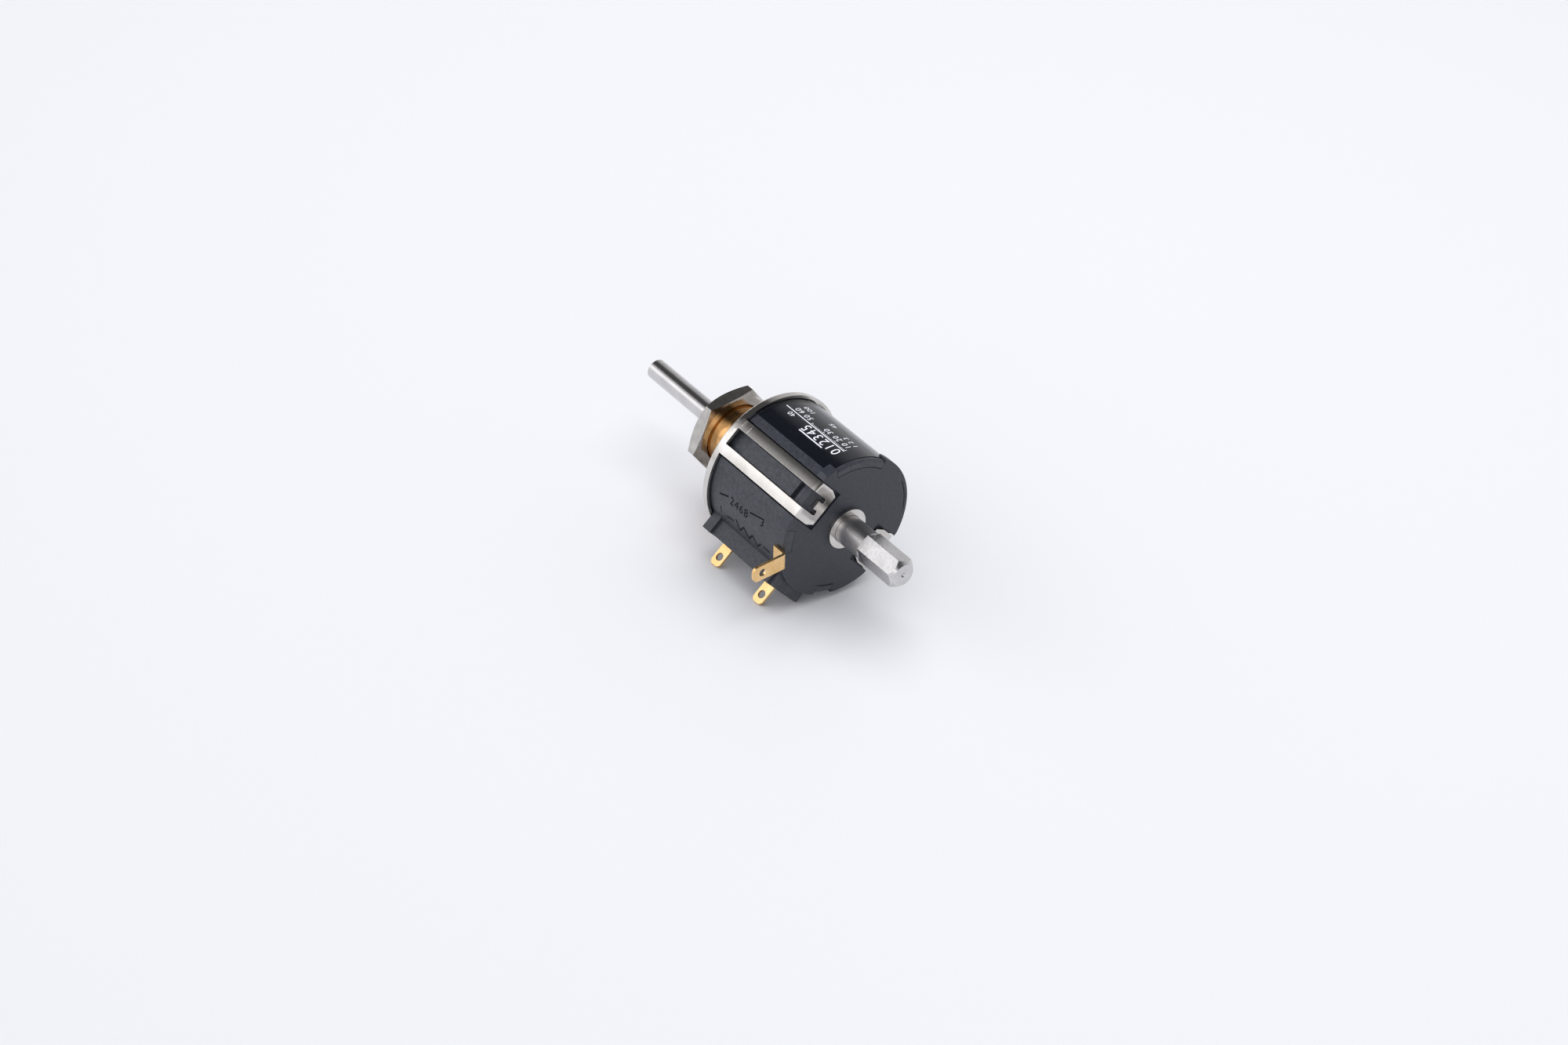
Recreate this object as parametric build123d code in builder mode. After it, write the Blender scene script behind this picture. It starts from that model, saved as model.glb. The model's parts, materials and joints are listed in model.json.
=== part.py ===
"""Three-turn precision wirewound potentiometer with a rear shaft extension.

The shaft lies along X with the knob end towards +X, and the origin is on the
shaft axis at the front mounting face.  The round body lies on its side, +Z up.
Depths are measured from the mounting face towards the rear, along -X.
"""
import os
from math import cos, radians, sin, sqrt

from build123d import *

# ---------------------------------------------------------------- driving sizes
STRAP_ANGLE = 47.0          # from straight up towards +Y
BLOCK_ANGLE = STRAP_ANGLE + 90.0
WIPER_LUG_ANGLE = 51.0      # of the rear lug, from the strap towards the block

BODY_R = 11.1               # rear cover, 22.2 mm: the 7/8 inch class
HOUSING_R = 10.75
LAND_R = 10.85              # raised lands beside the straps
LAND_ANGLE = 24.5
BODY_LENGTH = 18.0
COVER_FRONT = 16.4
CAVITY_R = 9.4
CAVITY_FRONT = 2.3
TONGUE_BEVEL = 0.3
SEAT_R = 10.2               # seats under the two straps
SEAT_ANGLE = 17.0
COVER_FLAT_S = 10.35
RIM_GAP = 0.05

PLATE_R = 11.45
PLATE_T = 0.6
SKIRT_T = 0.45
SKIRT_DEPTH = 1.25
RIM_ROUND = 0.5

STRAP_T = 0.55
STRAP_HALF = 2.95
STRAP_INNER_R = 10.25
WINDOW_HALF = 1.4
WINDOW_FRONT = 1.45
CROSSBAR_S = 6.1
CROSSBAR_CORNER_S = 7.5
CROSSBAR_CORNER_N = 2.4
TAB_S = 8.3
TAB_HALF = 0.65
RELIEF_R = 0.4
WINDOW_END_S = 7.7
STRAP_REAR = 18.05

THREAD_R = 4.7625           # 3/8 inch bushing
BUSHING_LENGTH = 9.525
FLANGE_R = 6.9
FLANGE_T = 0.9
BOSS_R = 4.0

NUT_AF = 12.7
NUT_REAR_X = 7.5
NUT_T = 2.25
NUT_CLEARANCE = 0.04
NUT_TURN = 18.5             # a corner's lean from straight up
NUT_FACE_R = 6.1
NUT_BORE_CHAMFER = 0.3

SHAFT_R = 1.5875            # 1/8 inch
SHAFT_FRONT_X = 27.6
SHAFT_CLEARANCE = 0.035
JOURNAL_R = 1.8             # bearing length inside the bushing
JOURNAL_END_X = 9.4
CORE_R = 2.18
SHOULDER = 2.62
HEX_AF = 4.1
HEX_START = 23.35
SHAFT_END = 30.7
HEX_CHAMFER = 0.7

PITCH = 3.3
TURNS = 3
HELIX_START = 4.3
HELIX_END = HELIX_START + TURNS * PITCH
HELIX_R = 8.85
WIRE_R = 0.5

HUB_R = 3.6
HUB_FRONT = 2.8
HUB_REAR = 16.1
HUB_FLANGE_R = 7.2
HUB_FLANGE_T = 0.5
ROD_R = 0.5
ROD_N = 5.4
ROD_S = 2.0

CARRIAGE_HALF = 0.9
CARRIAGE_BASE = 4.3
CARRIAGE_TOP = 7.4
CARRIAGE_WIDTH = 6.0
ROD_FIT = 0.05
STOP_R = 0.5
STOP_GAP = 0.15
STOP_N = 6.6
BRUSH_N = 0.8

BLOCK_OUT = 12.6
BLOCK_HALF = 3.35
BLOCK_FRONT = 1.1
BLOCK_REAR = 17.1
BLOCK_WALL = 1.9

LUG_T = 0.4
LUG_WIDTH = 2.0
LUG_TIP = 16.0
LUG_HOLE_R = 0.6
LUG_ROUND = 0.7
LUG_HOLE_N = 14.6
REAR_LUG_WIDTH = 2.5
REAR_LUG_R = 10.85
REAR_LUG_TIP = 16.5
REAR_LUG_HOLE = 14.9
REAR_LUG_DEPTH = 18.55

BEARING_FLANGE_R = 3.15
BEARING_SLEEVE_R = 3.0
BEARING_FLANGE_T = 0.55

LABEL_T = 0.08
LABEL_GAP = 0.02
LABEL_START = 24.5
LABEL_END = 155.5
LABEL_FRONT = 1.4
LABEL_REAR = 17.3

# ---------------------------------------------------------------- frame helpers
BACK = Vector(-1, 0, 0)


def radial(angle_from_strap):
    """Unit vector at an angle from the strap, positive towards the terminal block."""
    turn = radians(STRAP_ANGLE + angle_from_strap)
    return Vector(0, sin(turn), cos(turn))


def station(depth, angle=0.0):
    """Cross-section plane: local x along the radial direction, local z rearwards."""
    return Plane(origin=(-depth, 0, 0), x_dir=radial(angle), z_dir=BACK)


def lengthwise(angle=0.0):
    """Plane through the axis: local x is depth, local y the radial direction."""
    return Plane(origin=(0, 0, 0), x_dir=BACK, z_dir=radial(angle + 90))


def polar(radius, angle):
    """Point of a cross-section plane at a radius and an angle from the strap."""
    return (radius * cos(radians(angle)), radius * sin(radians(angle)))


def ring(outer, inner, front, rear):
    """Add a plain ring or, with inner 0, a plain disc between two depths."""
    with BuildSketch(station(front)) as outline:
        Circle(outer)
        if inner:
            Circle(inner, mode=Mode.SUBTRACT)
    extrude(outline.sketch, amount=rear - front)


def cut_disc(radius, front, rear):
    """Cut a round hole between two depths."""
    with BuildSketch(station(front)) as outline:
        Circle(radius)
    extrude(outline.sketch, amount=rear - front, mode=Mode.SUBTRACT)


def bar(angle, low, high, half_width, front, rear, mode=Mode.ADD, offset_n=0.0):
    """Box whose length runs along one radial direction, between two depths."""
    with BuildSketch(station(front, angle)) as outline:
        with Locations(((low + high) / 2, offset_n)):
            Rectangle(high - low, 2 * half_width)
    extrude(outline.sketch, amount=rear - front, mode=mode)


def patch(inner, outer, start, stop, front, rear, mode=Mode.ADD):
    """Arc-shaped block between two radii, two angles from the strap and two depths."""
    middle = (start + stop) / 2
    with BuildSketch(station(front)) as outline:
        with BuildLine():
            ThreePointArc(polar(inner, start), polar(inner, middle), polar(inner, stop))
            Line(polar(inner, stop), polar(outer, stop))
            ThreePointArc(polar(outer, stop), polar(outer, middle), polar(outer, start))
            Line(polar(outer, start), polar(inner, start))
        make_face()
    extrude(outline.sketch, amount=rear - front, mode=mode)


def save(builder, name):
    """Label a finished piece and write its STEP file."""
    builder.part.label = name
    export_step(builder.part, f"parts/{name}.step")


# Peripheral notches of the rear cover: start and stop angle, inner radius.
NOTCHES = ((28.5, 49.0, 9.35), (-78.0, -30.0, 9.55), (112.0, 129.0, 9.6))
GROOVE = (-139.0, -110.0, 10.4, 10.52)

os.makedirs("parts", exist_ok=True)

# ---------------------------------------------------------------- clamp plate
def strap_piece(side):
    """One strap: two curved legs from the skirt, bent over the rear face to a cross-bar."""
    skirt_r = PLATE_R - SKIRT_T / 2
    strap_r = STRAP_INNER_R + STRAP_T / 2
    rear = STRAP_REAR - STRAP_T / 2
    with BuildPart() as strap:
        with BuildSketch(lengthwise(side)):
            with BuildLine():
                FilletPolyline(
                    (SKIRT_DEPTH - 0.35, skirt_r),
                    (SKIRT_DEPTH + 0.45, skirt_r),
                    (SKIRT_DEPTH + 1.25, strap_r),
                    (rear, strap_r),
                    (rear, CROSSBAR_S - 0.3),
                    radius=0.4,
                )
            trace(line_width=STRAP_T)
        revolve(axis=Axis.X)
        with BuildSketch(station(0, side)):
            Polygon(
                (CROSSBAR_S, -CROSSBAR_CORNER_N),
                (CROSSBAR_CORNER_S, -STRAP_HALF),
                (PLATE_R, -STRAP_HALF),
                (PLATE_R, STRAP_HALF),
                (CROSSBAR_CORNER_S, STRAP_HALF),
                (CROSSBAR_S, CROSSBAR_CORNER_N),
                align=None,
            )
        extrude(amount=STRAP_REAR, mode=Mode.INTERSECT)
        bar(side, WINDOW_END_S, PLATE_R + 1, WINDOW_HALF, WINDOW_FRONT, STRAP_REAR, Mode.SUBTRACT)
        bar(side, WINDOW_END_S - 0.3, TAB_S, TAB_HALF, STRAP_REAR - STRAP_T, STRAP_REAR)
        with BuildSketch(station(STRAP_REAR - STRAP_T, side)):
            with Locations((WINDOW_END_S - 0.05, -1.0), (WINDOW_END_S - 0.05, 1.0)):
                Circle(RELIEF_R)
        extrude(amount=STRAP_T, mode=Mode.SUBTRACT)
    return strap.part


strap_pieces = [strap_piece(side) for side in (0, 180)]

with BuildPart() as clamp_plate:
    with BuildSketch(lengthwise()):
        with BuildLine():
            Line((0, THREAD_R + RIM_GAP), (0, PLATE_R - RIM_ROUND))
            RadiusArc((0, PLATE_R - RIM_ROUND), (RIM_ROUND, PLATE_R), RIM_ROUND)
            Polyline(
                (RIM_ROUND, PLATE_R),
                (SKIRT_DEPTH, PLATE_R),
                (SKIRT_DEPTH, PLATE_R - SKIRT_T),
                (PLATE_T, PLATE_R - SKIRT_T),
                (PLATE_T, THREAD_R + RIM_GAP),
                (0, THREAD_R + RIM_GAP),
            )
        make_face()
    revolve(axis=Axis.X)
    add(strap_pieces)
save(clamp_plate, "clamp_plate")

# ---------------------------------------------------------------- bushing
with BuildPart() as bushing:
    ring(THREAD_R, 0, -BUSHING_LENGTH, PLATE_T)
    ring(FLANGE_R, 0, PLATE_T, PLATE_T + FLANGE_T)
    ring(BOSS_R, 0, PLATE_T + FLANGE_T, CAVITY_FRONT)
    cut_disc(JOURNAL_R + SHAFT_CLEARANCE, -BUSHING_LENGTH, CAVITY_FRONT)
    chamfer(bushing.edges().filter_by(GeomType.CIRCLE).group_by(Axis.X)[-1], 0.25)
save(bushing, "bushing")

# ---------------------------------------------------------------- housing
with BuildPart() as housing:
    ring(HOUSING_R, 0, PLATE_T + RIM_GAP, COVER_FRONT)
    for start, stop, inner in NOTCHES:
        patch(inner + RIM_GAP, HOUSING_R, start, stop, COVER_FRONT - 0.5, BODY_LENGTH)
    with BuildSketch(lengthwise()) as bevel:
        Polygon(
            (BODY_LENGTH - TONGUE_BEVEL, HOUSING_R),
            (BODY_LENGTH, HOUSING_R - TONGUE_BEVEL),
            (BODY_LENGTH + 1, HOUSING_R - TONGUE_BEVEL),
            (BODY_LENGTH + 1, HOUSING_R + 1),
            (BODY_LENGTH - TONGUE_BEVEL, HOUSING_R + 1),
            align=None,
        )
    revolve(bevel.sketch, axis=Axis.X, mode=Mode.SUBTRACT)
    for side in (0, 180):
        patch(9.6, LAND_R, side - LAND_ANGLE, side + LAND_ANGLE, SKIRT_DEPTH + 0.1, COVER_FRONT)
        patch(SEAT_R, BODY_R + 1, side - SEAT_ANGLE, side + SEAT_ANGLE, 0, BODY_LENGTH + 1, Mode.SUBTRACT)
        bar(side, SEAT_R - 0.5, SEAT_R + 0.35, WINDOW_HALF - 0.15, 4.2, 15.3)
        bar(side, 9.7, SEAT_R + 1, WINDOW_HALF - 0.15, 15.3, 15.9, Mode.SUBTRACT)
    bar(90, 7.0, BLOCK_OUT, BLOCK_HALF, BLOCK_FRONT + 1.0, BLOCK_REAR - 0.05)
    for front, rear in ((SKIRT_DEPTH + 0.1, BLOCK_FRONT + BLOCK_WALL), (15.2, COVER_FRONT - 0.05)):
        bar(90, 9.5, BLOCK_OUT + 0.1, BLOCK_HALF + 0.5, front, rear)
    cut_disc(CAVITY_R, CAVITY_FRONT, BODY_LENGTH)
    cut_disc(FLANGE_R + RIM_GAP, 0, PLATE_T + FLANGE_T + 0.02)
    cut_disc(BOSS_R + RIM_GAP, 0, CAVITY_FRONT)
    for middle in (HELIX_START, HELIX_END):
        bar(90, CAVITY_R - 1, BLOCK_OUT + 1, LUG_T / 2 + 0.01, middle - LUG_WIDTH / 2 - 0.01,
            middle + LUG_WIDTH / 2 + 0.01, Mode.SUBTRACT)
save(housing, "housing")

# ---------------------------------------------------------------- rear cover
with BuildPart() as rear_cover:
    ring(BODY_R, 0, COVER_FRONT + 0.02, BODY_LENGTH)
    for start, stop, inner in NOTCHES:
        patch(inner, BODY_R + 1, start - 0.3, stop + 0.3, COVER_FRONT, BODY_LENGTH + 1, Mode.SUBTRACT)
    for side in (0, 180):
        bar(side, COVER_FLAT_S, BODY_R + 1, BODY_R, 0, BODY_LENGTH + 1, Mode.SUBTRACT)
        patch(SEAT_R, BODY_R + 1, side - SEAT_ANGLE, side + SEAT_ANGLE, 0, BODY_LENGTH + 1, Mode.SUBTRACT)
        bar(side, 5.5, BODY_R + 1, 3.15, STRAP_REAR - STRAP_T - 0.05, BODY_LENGTH + 1, Mode.SUBTRACT)
    chamfer(rear_cover.faces().sort_by(Axis.X)[0].outer_wire().edges().filter_by(GeomType.CIRCLE), 0.12)
    cut_disc(BEARING_SLEEVE_R, 0, BODY_LENGTH + 1)
    patch(GROOVE[2], GROOVE[3], GROOVE[0], GROOVE[1], BODY_LENGTH - 0.4, BODY_LENGTH + 1, Mode.SUBTRACT)
    bar(WIPER_LUG_ANGLE, REAR_LUG_R - 0.02, REAR_LUG_R + LUG_T + 0.02, REAR_LUG_WIDTH / 2 + 0.02,
        COVER_FRONT, BODY_LENGTH + 1, Mode.SUBTRACT)
    bar(WIPER_LUG_ANGLE, 4.4, REAR_LUG_R + 0.1, 1.4, COVER_FRONT, COVER_FRONT + 0.5, Mode.SUBTRACT)
    bar(90, BODY_R - 2.35, BODY_R + 1, BLOCK_HALF, 0, BLOCK_REAR, Mode.SUBTRACT)
save(rear_cover, "rear_cover")

# ---------------------------------------------------------------- label
with BuildPart() as label:
    film = HOUSING_R + LABEL_GAP
    patch(film, film + LABEL_T, -LABEL_END, -LABEL_START, LABEL_FRONT, COVER_FRONT - 0.05)
    patch(film, film + LABEL_T, NOTCHES[1][0] + 0.5, NOTCHES[1][1] - 0.5, COVER_FRONT - 0.1, LABEL_REAR)
save(label, "label")


# ---------------------------------------------------------------- terminals
def end_lug(middle):
    """Flat solder lug through the terminal block, with a hole and a rounded tip."""
    foot = CAVITY_R + 0.1
    with BuildPart() as lug:
        with BuildSketch(lengthwise(90)) as outline:
            with Locations((middle, (foot + LUG_TIP) / 2)):
                Rectangle(LUG_WIDTH, LUG_TIP - foot)
            fillet(outline.vertices().group_by(Axis.Y)[-1], LUG_ROUND)
            with Locations((middle, LUG_HOLE_N)):
                Circle(LUG_HOLE_R, mode=Mode.SUBTRACT)
        extrude(amount=LUG_T / 2, both=True)
    return lug


save(end_lug(HELIX_START), "terminal_start")
save(end_lug(HELIX_END), "terminal_end")

with BuildPart() as terminal_wiper:
    with BuildSketch(lengthwise(WIPER_LUG_ANGLE)):
        with BuildLine():
            FilletPolyline(
                (COVER_FRONT + 0.05, REAR_LUG_R + LUG_T / 2),
                (REAR_LUG_DEPTH + LUG_T / 2, REAR_LUG_R + LUG_T / 2),
                (REAR_LUG_DEPTH + LUG_T / 2, REAR_LUG_TIP),
                radius=0.35,
            )
        trace(line_width=LUG_T)
    extrude(amount=REAR_LUG_WIDTH / 2, both=True)
    with BuildSketch(station(REAR_LUG_DEPTH - 0.1, WIPER_LUG_ANGLE)):
        with Locations((REAR_LUG_HOLE, 0)):
            Circle(LUG_HOLE_R)
    extrude(amount=LUG_T + 0.2, mode=Mode.SUBTRACT)
    tip_edges = terminal_wiper.edges().filter_by(lambda e: abs(e.length - LUG_T) < 0.01)
    fillet(tip_edges.filter_by(Axis.X).sort_by(Axis(origin=(0, 0, 0), direction=radial(WIPER_LUG_ANGLE)))[-2:], 0.85)
save(terminal_wiper, "terminal_wiper")

# ---------------------------------------------------------------- resistance element
with BuildPart() as resistance_helix:
    coil = Helix(pitch=PITCH, height=TURNS * PITCH, radius=HELIX_R, mode=Mode.PRIVATE)
    path = station(HELIX_START, 90).from_local_coords(coil)
    with BuildSketch(Plane(origin=path @ 0, z_dir=path % 0)):
        Circle(WIRE_R)
    sweep(path=path, is_frenet=True)
save(resistance_helix, "resistance_helix")

for clip_name, middle, lean in (("end_clip_start", HELIX_START, 1), ("end_clip_end", HELIX_END, -1)):
    with BuildPart() as end_clip:
        bar(90, HELIX_R - 0.1, CAVITY_R - 0.03, 0.45, middle - 0.75, middle + 0.75, offset_n=0.3 * lean)
    save(end_clip, clip_name)

# ---------------------------------------------------------------- end stops
STOP_S = CARRIAGE_WIDTH / 2 + STOP_GAP + STOP_R
for stop_name, depth, offset_s in (("stop_pin_front", 3.75, STOP_S), ("stop_pin_rear", 14.75, -STOP_S)):
    with BuildPart() as stop_pin:
        with BuildSketch(Plane(origin=BACK * depth + radial(0) * offset_s + radial(90) * STOP_N, z_dir=radial(90))):
            Circle(STOP_R)
        extrude(amount=sqrt(CAVITY_R**2 - (STOP_S + STOP_R) ** 2) - STOP_N - 0.02)
    save(stop_pin, stop_name)

# ---------------------------------------------------------------- collector
with BuildPart() as brush_spring:
    bar(WIPER_LUG_ANGLE, 5.0, REAR_LUG_R - 0.02, 0.5, COVER_FRONT + 0.1, COVER_FRONT + 0.3, offset_n=BRUSH_N)
    with BuildSketch(station(COVER_FRONT - 0.1, WIPER_LUG_ANGLE)):
        with Locations((5.6, BRUSH_N)):
            Circle(0.45)
    extrude(amount=0.25)
save(brush_spring, "brush_spring")

# ---------------------------------------------------------------- rear bearing
with BuildPart() as rear_bearing:
    ring(BEARING_SLEEVE_R - 0.01, 0, COVER_FRONT + 0.1, BODY_LENGTH)
    ring(BEARING_FLANGE_R, 0, BODY_LENGTH, BODY_LENGTH + BEARING_FLANGE_T)
    cut_disc(CORE_R + 0.04, COVER_FRONT, BODY_LENGTH + 1)
save(rear_bearing, "rear_bearing")

# ---------------------------------------------------------------- nut
with BuildPart() as hex_nut:
    with BuildSketch(Plane(origin=(NUT_REAR_X, 0, 0), x_dir=(0, 0, 1), z_dir=(1, 0, 0))):
        RegularPolygon(NUT_AF / 2, 6, major_radius=False, rotation=NUT_TURN)
        Circle(THREAD_R + NUT_CLEARANCE, mode=Mode.SUBTRACT)
    extrude(amount=NUT_T)
    corner_r = NUT_AF / sqrt(3)
    with BuildSketch(Plane(origin=(0, 0, 0), x_dir=(1, 0, 0), z_dir=(0, -1, 0))):
        Polygon(
            (NUT_REAR_X, THREAD_R + NUT_BORE_CHAMFER),
            (NUT_REAR_X, NUT_FACE_R),
            (NUT_REAR_X + 0.3, corner_r),
            (NUT_REAR_X + NUT_T - 0.75, corner_r),
            (NUT_REAR_X + NUT_T, NUT_FACE_R),
            (NUT_REAR_X + NUT_T, 0),
            (NUT_REAR_X + NUT_BORE_CHAMFER, 0),
            (NUT_REAR_X + NUT_BORE_CHAMFER, THREAD_R),
            align=None,
        )
    revolve(axis=Axis.X, mode=Mode.INTERSECT)
save(hex_nut, "hex_nut")

# ---------------------------------------------------------------- shaft
with BuildPart() as shaft:
    ring(SHAFT_R, 0, -SHAFT_FRONT_X, -JOURNAL_END_X)
    ring(JOURNAL_R, 0, -JOURNAL_END_X, SHOULDER)
    ring(CORE_R, 0, SHOULDER, HEX_START)
    with BuildSketch(station(HEX_START)):
        RegularPolygon(HEX_AF / 2, 6, major_radius=False, rotation=30)
    extrude(amount=SHAFT_END - HEX_START)
    chamfer(shaft.faces().sort_by(Axis.X)[-1].edges(), 0.45)
    with BuildSketch(lengthwise()):
        Polygon(
            (-SHAFT_FRONT_X, 0),
            (-SHAFT_FRONT_X, HEX_AF),
            (HEX_START, HEX_AF),
            (SHAFT_END - HEX_CHAMFER, HEX_AF / sqrt(3)),
            (SHAFT_END, HEX_AF / 2 - 0.35),
            (SHAFT_END, 0),
            align=None,
        )
    revolve(axis=Axis.X, mode=Mode.INTERSECT)
    with BuildSketch(lengthwise()):
        Polygon((SHAFT_END, 0), (SHAFT_END, 0.35), (SHAFT_END - 0.45, 0), align=None)
    revolve(axis=Axis.X, mode=Mode.SUBTRACT)
save(shaft, "shaft")

with BuildPart() as front_washer:
    ring(3.4, JOURNAL_R + SHAFT_CLEARANCE, CAVITY_FRONT + 0.03, SHOULDER - 0.02)
save(front_washer, "front_washer")

with BuildPart() as rear_washer:
    ring(2.9, CORE_R + 0.03, HUB_REAR + 0.02, COVER_FRONT + 0.05)
save(rear_washer, "rear_washer")

# ---------------------------------------------------------------- rotor
with BuildPart() as rotor_hub:
    ring(HUB_R, CORE_R + 0.02, HUB_FRONT, HUB_REAR)
    for front, rear in ((HUB_FRONT, HUB_FRONT + HUB_FLANGE_T), (HUB_REAR - HUB_FLANGE_T, HUB_REAR)):
        ring(HUB_FLANGE_R, CORE_R + 0.02, front, rear)
    bar(-90, HUB_R - 0.5, HUB_FLANGE_R - 1.2, 1.2, HUB_FRONT, HUB_REAR)
    with BuildSketch(station(HUB_FRONT, 90)):
        with Locations((ROD_N, ROD_S), (ROD_N, -ROD_S)):
            Circle(ROD_R + 0.01)
    extrude(amount=HUB_REAR - HUB_FRONT, mode=Mode.SUBTRACT)
save(rotor_hub, "rotor_hub")

for rod_name, rod_s in (("guide_rod_a", ROD_S), ("guide_rod_b", -ROD_S)):
    with BuildPart() as guide_rod:
        with BuildSketch(station(HUB_FRONT, 90)):
            with Locations((ROD_N, rod_s)):
                Circle(ROD_R)
        extrude(amount=HUB_REAR - HUB_FRONT)
    save(guide_rod, rod_name)

with BuildPart() as slip_ring:
    ring(6.4, 4.6, HUB_REAR + 0.01, HUB_REAR + 0.15)
save(slip_ring, "slip_ring")

# ---------------------------------------------------------------- carriage
with BuildPart() as carriage:
    front = HELIX_START - CARRIAGE_HALF
    rear = HELIX_START + CARRIAGE_HALF
    bar(90, CARRIAGE_BASE, CARRIAGE_TOP, CARRIAGE_WIDTH / 2, front, rear)
    with BuildSketch(station(front, 90)):
        with Locations((ROD_N, ROD_S), (ROD_N, -ROD_S)):
            Circle(ROD_R + ROD_FIT)
    extrude(amount=rear - front, mode=Mode.SUBTRACT)
save(carriage, "carriage")

with BuildPart() as wiper_arm:
    bar(90, CARRIAGE_TOP, CARRIAGE_TOP + 0.15, 2.2, HELIX_START - 0.5, HELIX_START + 0.5)
save(wiper_arm, "wiper_arm")

with BuildPart() as wiper_tip:
    with BuildSketch(Plane(origin=BACK * HELIX_START + radial(90) * (CARRIAGE_TOP + 0.15), z_dir=radial(90))):
        Circle(0.35)
    extrude(amount=HELIX_R - WIRE_R - 0.05 - CARRIAGE_TOP - 0.15)
save(wiper_tip, "wiper_tip")
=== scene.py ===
"""Looks of the multiturn potentiometer: materials, print and moulded marks, camera and light."""
import json
from math import cos, degrees, pi, radians, sin

import bmesh
import bpy
from mathutils import Matrix, Vector


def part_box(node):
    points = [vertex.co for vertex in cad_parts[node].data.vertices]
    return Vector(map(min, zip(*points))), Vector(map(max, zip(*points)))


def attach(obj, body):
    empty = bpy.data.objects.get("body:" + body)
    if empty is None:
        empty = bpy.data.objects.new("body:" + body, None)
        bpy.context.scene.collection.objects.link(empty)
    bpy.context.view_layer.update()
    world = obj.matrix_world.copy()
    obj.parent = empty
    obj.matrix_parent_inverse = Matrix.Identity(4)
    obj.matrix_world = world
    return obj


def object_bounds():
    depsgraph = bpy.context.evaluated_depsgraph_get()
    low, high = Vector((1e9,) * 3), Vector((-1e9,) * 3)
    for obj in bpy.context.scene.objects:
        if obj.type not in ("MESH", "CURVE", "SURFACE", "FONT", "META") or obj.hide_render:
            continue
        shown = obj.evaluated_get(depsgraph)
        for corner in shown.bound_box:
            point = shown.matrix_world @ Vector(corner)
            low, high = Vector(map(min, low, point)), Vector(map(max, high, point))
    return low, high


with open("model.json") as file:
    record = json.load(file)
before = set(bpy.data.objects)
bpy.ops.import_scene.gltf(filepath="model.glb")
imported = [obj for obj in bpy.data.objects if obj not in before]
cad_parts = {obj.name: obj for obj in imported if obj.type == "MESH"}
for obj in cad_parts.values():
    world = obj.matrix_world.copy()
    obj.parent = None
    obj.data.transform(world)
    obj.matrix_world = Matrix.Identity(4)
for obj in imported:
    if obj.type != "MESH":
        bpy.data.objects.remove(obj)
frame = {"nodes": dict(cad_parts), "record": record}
cad_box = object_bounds()

# ---------------------------------------------------------------- sizes, in metres
MM = 0.001
STRAP_ANGLE = 47.0                      # the strap's lean from straight up towards +Y, in degrees
LABEL_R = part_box("label")[1][2]
HOUSING_R = LABEL_R - 0.1 * MM
PRINT_LIFT = 0.002 * MM                 # gap that keeps the print clear of the surface below
PRINT_T = 0.012 * MM                    # thickness of the print and of the marks
WRAP_STEP = 0.3 * MM                    # longest face across the round
STRIP_STEP = 0.8 * MM                   # longest face along a strip
CAP_SHARE = 0.7                         # height of a figure as a share of its font size
EDGE_R = 0.07 * MM                      # softening of the edges
NUT_LAND_R = (5.8 * MM, 6.2 * MM)       # where the nut's mirror-turned land ends
HEX_START = (-23.2 * MM, -23.6 * MM)    # where the shaft turns hexagonal
REAR_SHAFT = (0.0, -10.0 * MM)          # where the finish goes from the front shaft's to the rear one's


def on_body(radius, depth, angle):
    """Point at a depth behind the mounting face and an angle from the strap."""
    turn = radians(STRAP_ANGLE + angle)
    return Vector((-depth, radius * sin(turn), radius * cos(turn)))


# ---------------------------------------------------------------- material helpers
def set_stops(node, stops):
    """Give a colour ramp node its (position, colour) stops."""
    elements = node.color_ramp.elements
    while len(elements) < len(stops):
        elements.new(0.5)
    for element, (position, colour) in zip(elements, stops):
        element.position = position
        element.color = (*colour, 1.0)


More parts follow.
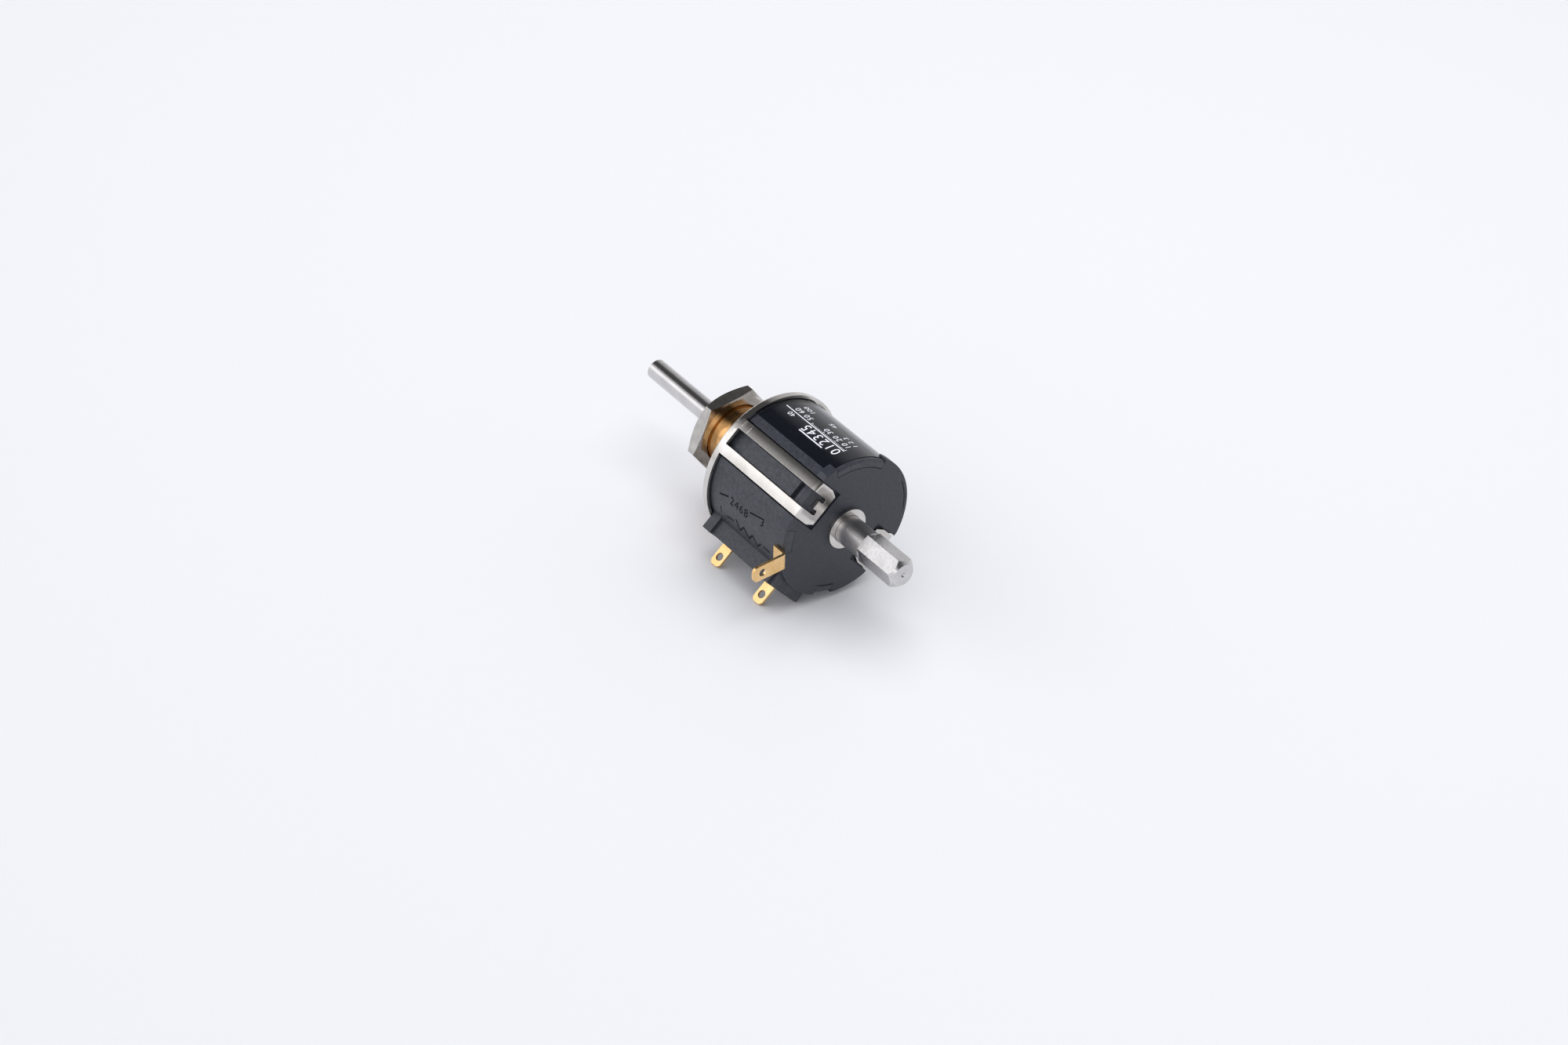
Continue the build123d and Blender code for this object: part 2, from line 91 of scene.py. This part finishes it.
class Look:
    """A principled material under construction, with its nodes and links."""

    def __init__(self, name):
        self.material = bpy.data.materials.new(name)
        self.material.use_nodes = True
        self.nodes = self.material.node_tree.nodes
        self.links = self.material.node_tree.links
        self.nodes.clear()
        output = self.nodes.new("ShaderNodeOutputMaterial")
        self.shader = self.nodes.new("ShaderNodeBsdfPrincipled")
        self.links.new(self.shader.outputs["BSDF"], output.inputs["Surface"])
        self.coordinates = self.nodes.new("ShaderNodeTexCoord")

    def feed(self, socket, value):
        """Link a value into a socket of the shader."""
        self.links.new(value, self.shader.inputs[socket])

    def noise(self, scale, detail=4.0, stretch=(1, 1, 1), roughness=0.5):
        """Noise in object space, stretched along chosen axes."""
        mapping = self.nodes.new("ShaderNodeMapping")
        mapping.inputs["Scale"].default_value = stretch
        texture = self.nodes.new("ShaderNodeTexNoise")
        texture.inputs["Scale"].default_value = scale
        texture.inputs["Detail"].default_value = detail
        texture.inputs["Roughness"].default_value = roughness
        self.links.new(self.coordinates.outputs["Object"], mapping.inputs["Vector"])
        self.links.new(mapping.outputs["Vector"], texture.inputs["Vector"])
        return texture.outputs["Fac"]

    def colour(self, factor, *stops):
        """Base colour from a factor through (position, colour) stops."""
        node = self.nodes.new("ShaderNodeValToRGB")
        set_stops(node, stops)
        self.links.new(factor, node.inputs["Fac"])
        self.feed("Base Color", node.outputs["Color"])

    def mottle(self, scale, detail, dark, light):
        """Base colour that wanders between two colours."""
        self.colour(self.noise(scale, detail), (0.3, dark), (0.7, light))

    def spread(self, factor, low, high, start=0.3, stop=0.7):
        """Map a factor to a range of values."""
        mapper = self.nodes.new("ShaderNodeMapRange")
        mapper.inputs["From Min"].default_value = start
        mapper.inputs["From Max"].default_value = stop
        mapper.inputs["To Min"].default_value = low
        mapper.inputs["To Max"].default_value = high
        self.links.new(factor, mapper.inputs["Value"])
        return mapper.outputs["Result"]

    def blend(self, factor, first, second):
        """Mix two values by a factor."""
        node = self.nodes.new("ShaderNodeMix")
        self.links.new(factor, node.inputs["Factor"])
        self.links.new(first, node.inputs["A"])
        self.links.new(second, node.inputs["B"])
        return node.outputs["Result"]

    def times(self, first, second):
        """Product of two values."""
        node = self.nodes.new("ShaderNodeMath")
        node.operation = "MULTIPLY"
        self.links.new(first, node.inputs[0])
        self.links.new(second, node.inputs[1])
        return node.outputs["Value"]

    def along_x(self, source, start, stop):
        """0 where the X part of an object-space vector is at start, 1 where it is at stop."""
        split = self.nodes.new("ShaderNodeSeparateXYZ")
        self.links.new(self.coordinates.outputs[source], split.inputs["Vector"])
        return self.spread(split.outputs["X"], 0.0, 1.0, start, stop)

    def near_axis(self, inner, outer):
        """1 within the inner distance of the object's X axis, 0 beyond the outer one."""
        flatten = self.nodes.new("ShaderNodeVectorMath")
        flatten.operation = "MULTIPLY"
        flatten.inputs[1].default_value = (0, 1, 1)
        length = self.nodes.new("ShaderNodeVectorMath")
        length.operation = "LENGTH"
        self.links.new(self.coordinates.outputs["Object"], flatten.inputs[0])
        self.links.new(flatten.outputs["Vector"], length.inputs[0])
        return self.spread(length.outputs["Value"], 0.0, 1.0, outer, inner)

    def relief(self, height, strength, distance):
        """Bump by a height over softly rounded edges."""
        rounded = self.nodes.new("ShaderNodeBevel")
        rounded.samples = 4
        rounded.inputs["Radius"].default_value = EDGE_R
        bump = self.nodes.new("ShaderNodeBump")
        bump.inputs["Strength"].default_value = strength
        bump.inputs["Distance"].default_value = distance
        self.links.new(rounded.outputs["Normal"], bump.inputs["Normal"])
        self.links.new(height, bump.inputs["Height"])
        self.feed("Normal", bump.outputs["Normal"])


def metal(name, dark, light, rough, grain, stretch=(1, 1, 1), strength=0.15):
    """Plated or ground metal with patchy colour, uneven roughness and fine grain."""
    look = Look(name)
    grains = look.noise(grain, 3.0, stretch)
    look.mottle(350.0, 5.0, dark, light)
    look.shader.inputs["Metallic"].default_value = 1.0
    look.feed("Roughness", look.spread(grains, *rough))
    look.relief(grains, strength, 0.01 * MM)
    return look.material


def plastic(name, dark, light, rough, grain, strength, speck=None):
    """Moulded plastic with a mottled colour, a grained skin and stray pale fibres."""
    look = Look(name)
    grains = look.noise(grain, 4.0, roughness=0.65)
    stops = [(0.35, dark), (0.62, light)]
    if speck:
        stops += [(0.70, light), (0.76, speck)]
    look.colour(look.noise(1900.0, 5.0, roughness=0.7), *stops)
    look.feed("Roughness", look.spread(grains, *rough))
    look.relief(grains, strength, 0.03 * MM)
    return look.material


def nut_nickel():
    """Barrel-plated nut: mirror-turned land on the rear face, finely grained flats."""
    look = Look("nut_nickel")
    grains = look.noise(2600.0, 5.0, roughness=0.7)
    land = look.times(look.along_x("Normal", -0.97, -0.995), look.near_axis(*NUT_LAND_R))
    look.mottle(900.0, 5.0, (0.44, 0.42, 0.40), (0.58, 0.56, 0.53))
    look.shader.inputs["Metallic"].default_value = 1.0
    look.feed("Roughness", look.blend(land, look.spread(grains, 0.07, 0.15), look.spread(grains, 0.05, 0.09)))
    look.relief(look.blend(land, grains, look.noise(60.0)), 0.2, 0.012 * MM)
    return look.material


def shaft_steel():
    """Centreless-ground shaft: fine rings, with worn pitted patches on the hexagon."""
    look = Look("shaft_steel")
    rings = look.noise(900.0, 4.0, (9, 1, 1))
    pits = look.spread(look.noise(2600.0, 8.0, roughness=0.8), 0.0, 1.0, 0.46, 0.70)
    hexagon = look.along_x("Object", *HEX_START)
    rear = look.along_x("Object", *REAR_SHAFT)
    look.mottle(420.0, 5.0, (0.54, 0.53, 0.53), (0.64, 0.63, 0.63))
    look.shader.inputs["Metallic"].default_value = 1.0
    ground = look.blend(rear, look.spread(rings, 0.17, 0.25), look.spread(rings, 0.34, 0.42))
    worn = look.blend(pits, look.spread(rings, 0.19, 0.26), look.spread(rings, 0.36, 0.50))
    look.feed("Roughness", look.blend(hexagon, ground, worn))
    look.relief(look.blend(look.times(hexagon, pits), look.spread(rings, 0.2, 0.5), pits), 0.6, 0.012 * MM)
    return look.material


def ink(name, dark, light, roughness):
    """Flat print, or a marking coloured dark as painted shade, of an uneven colour."""
    look = Look(name)
    look.mottle(2500.0, 3.0, dark, light)
    look.shader.inputs["Roughness"].default_value = roughness
    return look


TURNED = (9, 1, 1)                      # stretch that draws grain out into rings about X
materials = {
    "nickel_plate": metal("nickel", (0.56, 0.54, 0.51), (0.68, 0.66, 0.63), (0.09, 0.15), 2500.0),
    "nut": nut_nickel(),
    "brass": metal("turned_brass", (0.60, 0.32, 0.12), (0.78, 0.47, 0.20), (0.09, 0.16), 1500.0, TURNED, 0.2),
    "gold": metal("gold_plate", (0.80, 0.50, 0.20), (0.93, 0.64, 0.32), (0.20, 0.34), 2600.0),
    "steel": shaft_steel(),
    "resistance_wire": metal(
        "resistance_wire", (0.33, 0.3, 0.26), (0.5, 0.46, 0.4), (0.3, 0.45), 9000.0, TURNED, 0.6
    ),
    "black_plastic": plastic(
        "glass_filled_plastic", (0.020, 0.0225, 0.030), (0.041, 0.045, 0.057), (0.34, 0.55), 6500.0, 0.6,
        speck=(0.17, 0.18, 0.22),
    ),
    "cover_plastic": plastic(
        "cover_plastic", (0.021, 0.024, 0.034), (0.030, 0.033, 0.045), (0.42, 0.52), 3000.0, 0.14
    ),
    "rotor_plastic": plastic(
        "natural_moulding", (0.5, 0.46, 0.38), (0.6, 0.55, 0.46), (0.4, 0.5), 1500.0, 0.2
    ),
    "label": plastic(
        "label_film", (0.0035, 0.0045, 0.008), (0.005, 0.0065, 0.011), (0.10, 0.14), 700.0, 0.03
    ),
}
for row in frame["record"]["subparts"]:
    cad = frame["nodes"][row["node"]]
    chosen = "nut" if row["node"] == "hex_nut" else row["material_slot"]
    cad.data.materials.clear()
    cad.data.materials.append(materials[chosen])

white_print = ink("white_print", (0.66, 0.68, 0.75), (0.86, 0.88, 0.95), 0.4)
# Moulded marks in near black with a dim reflection: painted shade that stands in for the shade of the moulded
# relief.
shade_painted_marks = ink("shade_painted_marks", (0.004, 0.004, 0.006), (0.012, 0.012, 0.016), 0.8)
shade_painted_marks.shader.inputs["Specular IOR Level"].default_value = 0.1


# ---------------------------------------------------------------- print and marks on the round body
def wrap(name, flat, radius, material):
    """Turn a flat mesh (x along +X, y around towards the strap, z outwards) into a piece on the body."""
    bmesh.ops.triangulate(flat, faces=flat.faces)
    arcs = [vertex.co.y for vertex in flat.verts]
    lowest = min(arcs)
    for i in range(1, int((max(arcs) - lowest) / WRAP_STEP) + 1):
        everything = flat.verts[:] + flat.edges[:] + flat.faces[:]
        cut = (0, lowest + i * WRAP_STEP, 0)
        bmesh.ops.bisect_plane(flat, geom=everything, dist=1e-8, plane_co=cut, plane_no=(0, 1, 0))
    for vertex in flat.verts:
        x, arc, height = vertex.co
        vertex.co = on_body(radius + height, -x, degrees(arc / radius))
    bmesh.ops.recalc_face_normals(flat, faces=flat.faces)
    mesh = bpy.data.meshes.new(name)
    flat.to_mesh(mesh)
    flat.free()
    piece = bpy.data.objects.new(name, mesh)
    bpy.context.scene.collection.objects.link(piece)
    mesh.materials.append(material)
    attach(piece, "case")


def add_strip(flat, radius, start, end, width):
    """Thin raised strip between two (depth in mm, angle in degrees) points, width in mm."""
    a, b = (Vector((-depth * MM, radians(angle) * radius, 0)) for depth, angle in (start, end))
    along = (b - a).normalized()
    side = Vector((-along.y, along.x, 0)) * width * MM / 2
    steps = max(2, int((b - a).length / STRIP_STEP))
    low, high = [], []
    for i in range(steps + 1):
        centre = a.lerp(b, i / steps)
        for level, rows in ((0.0, low), (PRINT_T, high)):
            rows.append([flat.verts.new(centre + side * s + Vector((0, 0, level))) for s in (-1, 1)])
    for i in range(steps):
        flat.faces.new((high[i][0], high[i + 1][0], high[i + 1][1], high[i][1]))
        flat.faces.new((low[i][1], low[i + 1][1], low[i + 1][0], low[i][0]))
        for s in (0, 1):
            flat.faces.new((low[i][s], low[i + 1][s], high[i + 1][s], high[i][s]))
    for i in (0, steps):
        flat.faces.new((low[i][0], low[i][1], high[i][1], high[i][0]))


def add_figures(flat, radius, text, depth, angle, height, spacing, sign=1):
    """Raised figures from a depth (mm) and an angle, height in mm; sign -1 turns them upside down."""
    curve = bpy.data.curves.new("figures", "FONT")
    curve.body = text
    curve.size = height * MM / CAP_SHARE
    curve.space_character = spacing
    curve.extrude = PRINT_T / 2
    curve.resolution_u = 3
    holder = bpy.data.objects.new("figures", curve)
    mesh = bpy.data.meshes.new_from_object(holder)
    bpy.data.objects.remove(holder)
    first = len(flat.verts)
    flat.from_mesh(mesh)
    bpy.data.meshes.remove(mesh)
    flat.verts.ensure_lookup_table()
    for vertex in flat.verts[first:]:
        x, y, z = vertex.co
        vertex.co = Vector((-depth * MM + sign * x, radians(angle) * radius + sign * y, z + PRINT_T / 2))


# Label: a long rule, a bar over the large figures, a tick scale and rows of dial figures.
print_r = LABEL_R + PRINT_LIFT
flat = bmesh.new()
add_strip(flat, print_r, (15.2, -47.6), (2.3, -47.6), 0.17)
add_strip(flat, print_r, (12.9, -36.8), (7.8, -36.8), 0.2)
for i in range(25):
    depth = 15.1 - i * 0.31
    tick_end = -50.6 if i % 8 == 0 else -49.5
    add_strip(flat, print_r, (depth, -48.3), (depth, tick_end), 0.09)
for text, depth, angle, height, spacing in (
    ("012345", 15.2, -45.9, 1.5, 1.22),
    ("40", 5.0, -45.6, 0.8, 1.1),
    ("10 20 30", 14.9, -56.6, 0.95, 1.12),
    ("50 60", 6.9, -54.6, 0.95, 1.1),
    ("1 2 3", 14.9, -63.6, 0.85, 1.1),
    ("45", 9.6, -66.6, 0.85, 1.1),
    ("100", 5.6, -62.6, 0.9, 1.1),
):
    add_figures(flat, print_r, text, depth, angle, height, spacing)
wrap("label_print", flat, print_r, white_print.material)

# Housing: a plain zigzag with lead lines and figures beside the terminals, coloured near black as painted
# shade of the moulded relief.
mark_r = HOUSING_R + PRINT_LIFT
flat = bmesh.new()
zigzag = ((7.2, 54.0), (7.9, 62.8), (9.0, 55.5), (9.9, 63.6), (11.0, 56.2), (11.9, 63.8), (12.8, 58.2))
for start, end in zip(zigzag, zigzag[1:]):
    add_strip(flat, mark_r, start, end, 0.26)
for start, end, width in (
    ((13.4, 58.6), (14.9, 58.6), 0.26),
    ((5.0, 59.0), (6.6, 58.0), 0.26),
    ((3.3, 43.0), (5.2, 39.8), 0.26),
    ((10.0, 38.0), (13.0, 34.8), 0.22),
):
    add_strip(flat, mark_r, start, end, width)
for text, depth, angle, height, spacing in (
    ("1", 3.2, 60.0, 1.25, 1.0),
    ("3", 12.4, 41.0, 1.25, 1.0),
    ("2468", 5.6, 44.6, 1.3, 1.15),
):
    add_figures(flat, mark_r, text, depth, angle, height, spacing, sign=-1)
wrap("shade_painted_marks", flat, mark_r, shade_painted_marks.material)

# ---------------------------------------------------------------- stage
bpy.context.scene.view_settings.view_transform = "Standard"
FLOOR_SIZE = 6.0
bpy.ops.mesh.primitive_plane_add(size=FLOOR_SIZE, location=(0, 0, cad_box[0][2]))
floor = bpy.context.object
floor.name = "floor"
floor_look = Look("pale_floor")
floor_look.shader.inputs["Base Color"].default_value = (0.745, 0.755, 0.79, 1.0)
floor_look.shader.inputs["Roughness"].default_value = 0.6
floor.data.materials.append(floor_look.material)

# Studio brightness around the X axis: 0.5 is straight up and larger positions lean towards +Y.
# It is dark straight above, with bright panels towards both sides.
STUDIO = (
    (0.23, 0.85), (0.275, 0.85), (0.325, 0.64), (0.375, 0.56), (0.415, 0.30), (0.437, 0.08), (0.555, 0.07),
    (0.578, 0.36), (0.618, 1.35), (0.675, 1.8), (0.728, 1.15), (0.775, 0.62),
)
STUDIO_TINT = (0.985, 0.98, 1.0)
world = bpy.data.worlds.new("studio")
world.use_nodes = True
nodes, links = world.node_tree.nodes, world.node_tree.links
direction = nodes.new("ShaderNodeTexCoord")
split = nodes.new("ShaderNodeSeparateXYZ")
turn = nodes.new("ShaderNodeMath")
turn.operation = "ARCTAN2"
place = nodes.new("ShaderNodeMapRange")
place.inputs["From Min"].default_value = -pi
place.inputs["From Max"].default_value = pi
panels = nodes.new("ShaderNodeValToRGB")
set_stops(panels, [(position, [value * tint for tint in STUDIO_TINT]) for position, value in STUDIO])
links.new(direction.outputs["Generated"], split.inputs["Vector"])
links.new(split.outputs["Y"], turn.inputs[0])
links.new(split.outputs["Z"], turn.inputs[1])
links.new(turn.outputs[0], place.inputs["Value"])
links.new(place.outputs["Result"], panels.inputs["Fac"])
links.new(panels.outputs["Color"], nodes["Background"].inputs["Color"])
nodes["Background"].inputs["Strength"].default_value = 1.0
bpy.context.scene.world = world

# Overhead soft box, left out of reflections so that the sky above stays dark in the metal.
lamp_position = Vector((0.05, -0.1, 0.8))
light = bpy.data.lights.new("overhead", "AREA")
light.size = 0.9
light.energy = 7.0
lamp = bpy.data.objects.new("overhead", light)
bpy.context.scene.collection.objects.link(lamp)
lamp.location = lamp_position
lamp.rotation_euler = (-lamp_position).to_track_quat("-Z", "Y").to_euler()
lamp.visible_glossy = False

# ---------------------------------------------------------------- camera
camera_position = Vector((-0.24217, 0.21655, 0.2149))
right = Vector((-0.6045, -0.787, 0.1232)).normalized()
view = Vector((0.6066, -0.555, -0.5692)).normalized()
camera_data = bpy.data.cameras.new("camera")
camera_data.lens = 63.0
camera_data.sensor_width = 36.0
camera_data.clip_start = 0.01
camera = bpy.data.objects.new("camera", camera_data)
bpy.context.scene.collection.objects.link(camera)
axes = Matrix((right, right.cross(view), -view)).transposed().to_4x4()
camera.matrix_world = Matrix.Translation(camera_position) @ axes
bpy.context.scene.camera = camera
